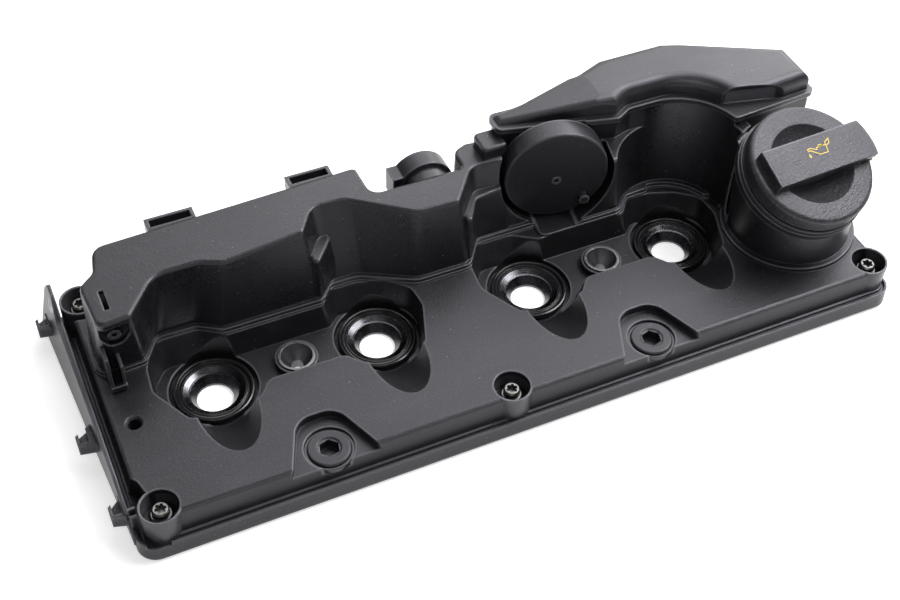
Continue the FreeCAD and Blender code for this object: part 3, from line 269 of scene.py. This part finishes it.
class Shader(Tree):
    """A material on the plain principled surface, laid out in the part's own coordinates."""

    def __init__(self, name):
        self.material = bpy.data.materials.new(name)
        self.material.use_nodes = True
        super().__init__(self.material.node_tree)
        self.surface = self.nodes["Principled BSDF"]
        self.place = self.nodes.new("ShaderNodeTexCoord").outputs["Object"]

    def noise(self, scale, detail=3.0, roughness=0.5, stretch=None):
        """Cloudy noise, drawn out along an axis where stretch says so."""
        node = self.nodes.new("ShaderNodeTexNoise")
        node.inputs["Scale"].default_value = scale
        node.inputs["Detail"].default_value = detail
        node.inputs["Roughness"].default_value = roughness
        source = self.place
        if stretch:
            mapping = self.nodes.new("ShaderNodeMapping")
            mapping.inputs["Scale"].default_value = stretch
            self.links.new(source, mapping.inputs["Vector"])
            source = mapping.outputs["Vector"]
        self.links.new(source, node.inputs["Vector"])
        return node.outputs["Fac"]

    def dust(self, scale, size, share):
        """Few small round specks, each at its own place."""
        cells = self.nodes.new("ShaderNodeTexVoronoi")
        cells.inputs["Scale"].default_value = scale
        self.links.new(self.place, cells.inputs["Vector"])
        chosen = self.math("LESS_THAN", cells.outputs["Color"], share)
        speck = self.ramp(cells.outputs["Distance"], size, size * DUST_FADE, 1.0, 0.0)
        return self.math("MULTIPLY", chosen, speck)

    def mix(self, factor, a, b):
        """Blend of two colours or outputs."""
        node = self.nodes.new("ShaderNodeMix")
        node.data_type = "RGBA"
        self.links.new(factor, node.inputs["Factor"])
        for side, colour in (("A", a), ("B", b)):
            is_output = isinstance(colour, bpy.types.NodeSocket)
            self.join(colour if is_output else (*colour, 1), node.inputs[side])
        return node.outputs["Result"]

    def rounded(self, radius):
        """Normal that turns softly over the edges."""
        bevel = self.nodes.new("ShaderNodeBevel")
        bevel.samples = 6
        bevel.inputs["Radius"].default_value = radius
        return bevel.outputs["Normal"]

    def near_edge(self, radius):
        """How near an outer edge a point is, from 0 to 1."""
        inside = self.nodes.new("ShaderNodeAmbientOcclusion")
        inside.inside = True
        inside.only_local = True
        inside.samples = 4
        inside.inputs["Distance"].default_value = radius
        return self.ramp(inside.outputs["AO"], 0.55, 0.98, 1.0, 0.0)

    def bump(self, height, distance, normal, strength):
        """Relief on top of another normal."""
        node = self.nodes.new("ShaderNodeBump")
        node.inputs["Strength"].default_value = strength
        node.inputs["Distance"].default_value = distance
        self.links.new(height, node.inputs["Height"])
        self.links.new(normal, node.inputs["Normal"])
        return node.outputs["Normal"]

    def wire(self, output, socket):
        """Drive one socket of the surface."""
        self.links.new(output, self.surface.inputs[socket])

    def fix(self, socket, value):
        """Set one socket of the surface."""
        self.surface.inputs[socket].default_value = value


def lighter(colour, factor):
    """Shade of a colour, as a multiple of it."""
    return tuple(min(c * factor, 1.0) for c in colour)


def moulded(name, colour, look, roughness, grain_scale=GRAIN_SCALE, grain=1.0, specular=0.42,
            flecks=0.5, edge_wear_and_highlight=1.0):
    """Glass-filled plastic: flow marks, fine grain, pale flecks, dust and lighter edges, part rubbed wear
    and part painted highlight.
    """
    shader = Shader(name)
    flow = shader.noise(FLOW_SCALE, detail=6, roughness=0.62)
    streaks = shader.noise(STREAK_SCALE, detail=4, roughness=0.6, stretch=(0.35, 1.6, 1.0))
    speck = shader.noise(grain_scale, detail=2, roughness=0.6)
    waves = shader.noise(WAVE_SCALE, detail=2)
    near = shader.near_edge(look.edge)

    cloudy = shader.mix(flow, lighter(colour, FLOW_SHADES[0]), lighter(colour, FLOW_SHADES[1]))
    streaked = shader.mix(shader.ramp(streaks, 0.5, 0.75, 0.0, 0.6), cloudy, lighter(colour, STREAK_SHADE))
    fleck = shader.ramp(speck, 0.60, 0.70, 0.0, flecks)
    flecked = shader.mix(fleck, streaked, lighter(colour, FLECK_SHADE))
    dusted = shader.mix(shader.dust(DUST_SCALE, DUST_SIZE, DUST_SHARE), flecked, DUST_GREY)
    # Edges mixed toward a much lighter colour: partly rubbed wear, partly a painted edge highlight
    worn = shader.math("MULTIPLY", near, look.edge_wear_and_highlight * edge_wear_and_highlight)
    shader.wire(shader.mix(worn, dusted, lighter(colour, EDGE_WEAR_AND_HIGHLIGHT_SHADE)), "Base Color")

    dull = shader.ramp(flow, 0.3, 0.7, roughness - 0.05, roughness + 0.06)
    shader.wire(shader.math("SUBTRACT", dull, shader.math("MULTIPLY", near, RUBBED_GLOSS)), "Roughness")
    shader.fix("Specular IOR Level", specular)
    shader.fix("Specular Tint", PLASTIC_GLOSS)

    grained = shader.bump(speck, look.grain * grain, shader.rounded(look.edge), strength=1.0)
    shader.wire(shader.bump(waves, WAVE_DEPTH, grained, strength=0.35), "Normal")
    return shader.material


def rubber(name, colour, roughness=0.22):
    """Moulded rubber: dark, smooth and a little uneven, with a dusty bloom."""
    shader = Shader(name)
    bloom = shader.noise(BLOOM_SCALE, detail=5, roughness=0.65)
    dusty = shader.ramp(bloom, 0.5, 0.85, 0.0, 0.6)
    shader.wire(shader.mix(dusty, colour, lighter(colour, 3.0)), "Base Color")
    shader.wire(shader.ramp(bloom, 0.3, 0.8, roughness - 0.03, roughness + 0.07), "Roughness")
    shader.fix("Specular IOR Level", 0.5)
    ripples = shader.noise(RIPPLE_SCALE, detail=2)
    shader.wire(shader.bump(ripples, RIPPLE_DEPTH, shader.rounded(RUBBER_EDGE), strength=0.3), "Normal")
    return shader.material


def metal(name, colour, roughness, oil=0.0):
    """Machined metal: fine turning marks round the axis and, where it is oiled, darker films."""
    shader = Shader(name)
    marks = shader.noise(TURNING_SCALE, detail=2, stretch=(0.15, 0.15, 1.0))
    film = shader.noise(FILM_SCALE)
    worn = shader.math("MULTIPLY", shader.near_edge(METAL_EDGE), 0.5)
    oiled = shader.mix(shader.ramp(film, 0.40, 0.70, 0.0, oil), colour, lighter(colour, 0.3))
    shader.wire(shader.mix(worn, oiled, lighter(colour, 1.8)), "Base Color")
    shader.wire(shader.ramp(marks, 0.3, 0.7, roughness - 0.04, roughness + 0.08), "Roughness")
    shader.fix("Metallic", 1.0)
    shader.wire(shader.bump(marks, TURNING_DEPTH, shader.rounded(METAL_EDGE), strength=0.35), "Normal")
    return shader.material


def painted(name, colour):
    """Printed ink: slightly uneven cover and gloss."""
    shader = Shader(name)
    worn = shader.noise(INK_SCALE, detail=4, roughness=0.6)
    thin = shader.ramp(worn, 0.55, 0.8, 0.0, 0.5)
    shader.wire(shader.mix(thin, colour, lighter(colour, 0.55)), "Base Color")
    shader.wire(shader.ramp(worn, 0.3, 0.8, 0.35, 0.6), "Roughness")
    shader.fix("Specular IOR Level", 0.4)
    return shader.material


def dress(names, material):
    """Give CAD nodes a material."""
    for name in names:
        for slot in NODES[name].material_slots:
            slot.material = material


def numbered(name, count):
    """Names of like nodes."""
    return ["%s_%d" % (name, k) for k in range(1, count + 1)]


def ribbon(name, paths, width, to_world, material):
    """Flat line drawing: each closed path of (u, v) points becomes a strip of even width."""
    vertices = []
    faces = []
    for path in paths:
        count = len(path)
        start = len(vertices)
        for k in range(count):
            before, here, after = (Vector(path[j % count]) for j in (k - 1, k, k + 1))
            back = (here - before).normalized()
            ahead = (after - here).normalized()
            side = Vector((-back.y - ahead.y, back.x + ahead.x))
            side = side / max(side.dot(Vector((-back.y, back.x))), MITRE_LIMIT)
            vertices.append(to_world(here + side * width / 2))
            vertices.append(to_world(here - side * width / 2))
        for k in range(count):
            a = start + 2 * k
            b = start + 2 * ((k + 1) % count)
            faces.append((a, a + 1, b + 1, b))
    mesh = bpy.data.meshes.new(name)
    mesh.from_pydata(vertices, [], faces)
    mesh.materials.append(material)
    piece = bpy.data.objects.new(name, mesh)
    bpy.context.scene.collection.objects.link(piece)
    return piece


class FinishCover(bpy.types.Operator):
    """Give the lower moulding and its gasket their finish"""

    bl_idname = "valve_cover.finish_cover"
    bl_label = "Cover body"

    def execute(self, context):
        look = context.scene.valve_plastic
        dress(["cover_body"], moulded("cover_plastic", look.cover, look, roughness=0.37))
        dress(["perimeter_gasket"], rubber("gasket_rubber", HIDDEN_RUBBER, roughness=0.4))
        return {"FINISHED"}


class FinishSeparator(bpy.types.Operator):
    """Give the separator, its lid, inserts and breather collar their finish"""

    bl_idname = "valve_cover.finish_separator"
    bl_label = "Oil separator"

    def execute(self, context):
        look = context.scene.valve_plastic
        dress(["separator_housing"], moulded("housing_plastic", look.housing, look, roughness=0.29))
        dress(["separator_lid"], moulded("lid_plastic", look.cover, look, roughness=0.40, specular=0.5))
        inserts = moulded("insert_plastic", INNER_PLASTIC, look, roughness=0.5)
        dress(["labyrinth_left", "labyrinth_right"], inserts)
        dress(["breather_collar"], moulded("collar_plastic", look.housing, look, roughness=0.36))
        dress(numbered("drain_valve", 2), rubber("valve_rubber", VALVE_RUBBER))
        return {"FINISHED"}


class FinishRegulator(bpy.types.Operator):
    """Give the pressure regulator its finish"""

    bl_idname = "valve_cover.finish_regulator"
    bl_label = "Pressure regulator"

    def execute(self, context):
        look = context.scene.valve_plastic
        round_cover = moulded("regulator_plastic", look.cap, look, roughness=0.38, grain=1.2, flecks=0.35)
        dress(["regulator_cover"], round_cover)
        dress(["regulator_plate"], moulded("plate_plastic", PLATE_PLASTIC, look, roughness=0.45))
        dress(["regulator_diaphragm"], rubber("diaphragm_rubber", HIDDEN_RUBBER))
        dress(["regulator_spring"], metal("spring_steel", SPRING_STEEL, roughness=0.3))
        return {"FINISHED"}


class FinishSeals(bpy.types.Operator):
    """Give the injector seals, their cones, the bushes and the screw plugs their finish"""

    bl_idname = "valve_cover.finish_seals"
    bl_label = "Seals and plugs"

    def execute(self, context):
        look = context.scene.valve_small
        plastic = context.scene.valve_plastic
        dress(numbered("injector_seal", 4), rubber("seal_rubber", look.rubber, roughness=0.2))
        dress(numbered("injector_seal_insert", 4), metal("insert_steel", look.cone, roughness=0.24, oil=0.7))
        dress(numbered("clamp_bolt_bush", 2), metal("bush_aluminium", look.bush, roughness=0.34, oil=0.5))
        plugs = moulded("plug_plastic", plastic.housing, plastic, roughness=0.34, flecks=0.2)
        dress(numbered("screw_plug", 2), plugs)
        dress(numbered("plug_o_ring", 2), rubber("ring_rubber", look.rubber))
        return {"FINISHED"}


class FinishScrews(bpy.types.Operator):
    """Give the captive screws, sleeves and grommets their finish"""

    bl_idname = "valve_cover.finish_screws"
    bl_label = "Captive screws"

    def execute(self, context):
        look = context.scene.valve_small
        dress(["captive_screws"], metal("screw_steel", look.steel, roughness=0.3, oil=0.4))
        dress(["screw_sleeves"], metal("sleeve_steel", SLEEVE_STEEL, roughness=0.4, oil=0.5))
        dress(["screw_grommets"], rubber("grommet_rubber", look.rubber, roughness=0.28))
        return {"FINISHED"}


class FinishCap(bpy.types.Operator):
    """Give the filler cap its finish and print the oil can mark on its grip"""

    bl_idname = "valve_cover.finish_cap"
    bl_label = "Filler cap"

    def execute(self, context):
        look = context.scene.valve_plastic
        small = context.scene.valve_small
        sandy = moulded("cap_plastic", look.cap, look, roughness=0.44, grain_scale=CAP_GRAIN_SCALE,
                        grain=2.6, specular=0.45, flecks=0.8, edge_wear_and_highlight=0.4)
        dress(["oil_filler_cap"], sandy)
        dress(["cap_plug"], moulded("plug_insert_plastic", INNER_PLASTIC, look, roughness=0.45))
        dress(["cap_seal_ring"], rubber("cap_ring_rubber", small.rubber))
        ink = painted("mark_ink", small.mark)
        mark = ribbon("oil_can_mark", OIL_CAN, small.mark_line / MM, grip_plane(), ink)
        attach(mark, "cap")
        return {"FINISHED"}


def neck_axis():
    """Direction out of the slanted filler neck."""
    tilt = math.radians(CAP_TILT)
    turn = math.radians(CAP_TURN)
    return Vector((-math.sin(tilt) * math.sin(turn), -math.sin(tilt) * math.cos(turn), math.cos(tilt)))


def grip_plane():
    """Function that puts a point of the mark's own plane on top of the grip, in metres."""
    axis = neck_axis()
    along = Vector((0, 1, 0)).cross(axis).normalized()
    along.rotate(Matrix.Rotation(math.radians(GRIP_TURN), 3, axis))
    across = axis.cross(along)
    top = Vector(RIM_CENTRE) + axis * (GRIP_TOP + MARK_LIFT)
    centre = top + along * MARK_ALONG + across * MARK_ACROSS

    def on_grip(point):
        return (centre + along * point.x + across * point.y) * MM

    return on_grip


class SetStage(bpy.types.Operator):
    """Lay the pale floor, hang the lamps and place the camera"""

    bl_idname = "valve_cover.set_stage"
    bl_label = "Stage"

    def execute(self, context):
        shot = context.scene.valve_shot
        scene = context.scene
        low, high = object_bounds()
        lay_floor(scene, low[2] - FLOOR_GAP, paper_material(shot.paper, shot.glow))
        set_world(scene, shot.sky)
        centre = (Vector(low) + Vector(high)) / 2
        for name, place, width, height, setting in LAMPS:
            area_lamp(name, centre + Vector(place), centre, width, height, getattr(shot, setting))
        set_camera(scene, shot)
        scene.view_settings.view_transform = "Standard"
        return {"FINISHED"}


def lay_floor(scene, height, material):
    """Wide flat floor just below the part."""
    corners = [(-1, -1), (1, -1), (1, 1), (-1, 1)]
    mesh = bpy.data.meshes.new("floor")
    mesh.from_pydata([(x * FLOOR_REACH, y * FLOOR_REACH, height) for x, y in corners], [], [(0, 1, 2, 3)])
    mesh.materials.append(material)
    floor = bpy.data.objects.new("floor", mesh)
    scene.collection.objects.link(floor)
    floor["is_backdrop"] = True


def paper_material(colour, glow):
    """Pale floor: brighter to the camera and in reflections, with the part's soft shadow."""
    shader = Shader("paper")
    fibre = shader.noise(40)
    shader.wire(shader.mix(fibre, lighter(colour, 0.98), lighter(colour, 1.02)), "Base Color")
    shader.fix("Roughness", 0.9)
    shader.fix("Specular IOR Level", 0.1)
    path = shader.nodes.new("ShaderNodeLightPath").outputs
    seen = shader.math("MAXIMUM", path["Is Camera Ray"], path["Is Glossy Ray"])
    seen = shader.math("MAXIMUM", seen, path["Is Transmission Ray"])
    light = shader.nodes.new("ShaderNodeEmission")
    light.inputs["Color"].default_value = WHITE
    shader.links.new(shader.math("MULTIPLY", seen, glow), light.inputs["Strength"])
    both = shader.nodes.new("ShaderNodeAddShader")
    shader.links.new(shader.surface.outputs[0], both.inputs[0])
    shader.links.new(light.outputs[0], both.inputs[1])
    shader.links.new(both.outputs[0], shader.nodes["Material Output"].inputs["Surface"])
    return shader.material


def set_world(scene, strength):
    """Even dim light: white to the camera, and to shiny surfaces a white backdrop round the horizon."""
    world = bpy.data.worlds.new("studio")
    world.use_nodes = True
    tree = Tree(world.node_tree)
    heading = tree.nodes.new("ShaderNodeSeparateXYZ")
    tree.links.new(tree.nodes.new("ShaderNodeTexCoord").outputs["Generated"], heading.inputs[0])
    backdrop = tree.ramp(heading.outputs["Z"], BACKDROP_WHITE, BACKDROP_END, 1.0, strength)
    path = tree.nodes.new("ShaderNodeLightPath").outputs
    shiny = tree.math("MAXIMUM", path["Is Glossy Ray"], path["Is Transmission Ray"])
    mirrored = tree.ramp(shiny, 0.0, 1.0, strength, backdrop)
    level = tree.ramp(path["Is Camera Ray"], 0.0, 1.0, mirrored, 1.0)
    background = tree.nodes["Background"]
    background.inputs["Color"].default_value = WHITE
    tree.links.new(level, background.inputs["Strength"])
    scene.world = world


def area_lamp(name, place, target, width, height, power):
    """Softbox or tube that faces a target."""
    data = bpy.data.lights.new(name, "AREA")
    data.shape = "RECTANGLE"
    data.size = width
    data.size_y = height
    data.energy = power
    lamp = bpy.data.objects.new(name, data)
    lamp.location = place
    lamp.rotation_euler = (target - place).to_track_quat("-Z", "Y").to_euler()
    bpy.context.scene.collection.objects.link(lamp)


def set_camera(scene, shot):
    """Camera at the photographed viewing angle."""
    heading, drop, roll = shot.yaw, shot.pitch, shot.roll
    ahead = math.cos(drop)
    forward = Vector((math.sin(heading) * ahead, math.cos(heading) * ahead, -math.sin(drop)))
    level = Vector((math.cos(heading), -math.sin(heading), 0))
    down = forward.cross(level)
    right = math.cos(roll) * level + math.sin(roll) * down
    lower = -math.sin(roll) * level + math.cos(roll) * down
    camera = bpy.data.objects.new("camera", bpy.data.cameras.new("camera"))
    scene.collection.objects.link(camera)
    turn = Matrix((right, -lower, -forward)).transposed()
    camera.matrix_world = Matrix.Translation(Vector(shot.eye)) @ turn.to_4x4()
    camera.data.lens = shot.lens
    camera.data.sensor_width = SENSOR_WIDTH
    camera.data.clip_start = CLIP_START
    scene.camera = camera


class ValveCoverPanel(bpy.types.Panel):
    """Steps and settings of the valve cover"""

    bl_idname = "VIEW3D_PT_valve_cover"
    bl_label = "Valve cover"
    bl_space_type = "VIEW_3D"
    bl_region_type = "UI"
    bl_category = "Valve cover"

    def draw(self, context):
        layout = self.layout
        for step in STEPS:
            layout.operator(step.bl_idname)
        scene = context.scene
        for group in (scene.valve_shot, scene.valve_plastic, scene.valve_small):
            box = layout.box()
            for name in group.__annotations__:
                box.prop(group, name)


STEPS = [FinishCover, FinishSeparator, FinishRegulator, FinishSeals, FinishScrews, FinishCap, SetStage]
GROUPS = [ShotSettings, PlasticSettings, SmallPartSettings]


def register():
    for cls in GROUPS + STEPS + [ValveCoverPanel]:
        bpy.utils.register_class(cls)
    bpy.types.Scene.valve_shot = PointerProperty(type=ShotSettings)
    bpy.types.Scene.valve_plastic = PointerProperty(type=PlasticSettings)
    bpy.types.Scene.valve_small = PointerProperty(type=SmallPartSettings)


def unregister():
    del bpy.types.Scene.valve_small
    del bpy.types.Scene.valve_plastic
    del bpy.types.Scene.valve_shot
    for cls in reversed(GROUPS + STEPS + [ValveCoverPanel]):
        bpy.utils.unregister_class(cls)


def main():
    register()
    bpy.ops.valve_cover.finish_cover()
    bpy.ops.valve_cover.finish_separator()
    bpy.ops.valve_cover.finish_regulator()
    bpy.ops.valve_cover.finish_seals()
    bpy.ops.valve_cover.finish_screws()
    bpy.ops.valve_cover.finish_cap()
    bpy.ops.valve_cover.set_stage()


if __name__ == "__main__":
    main()
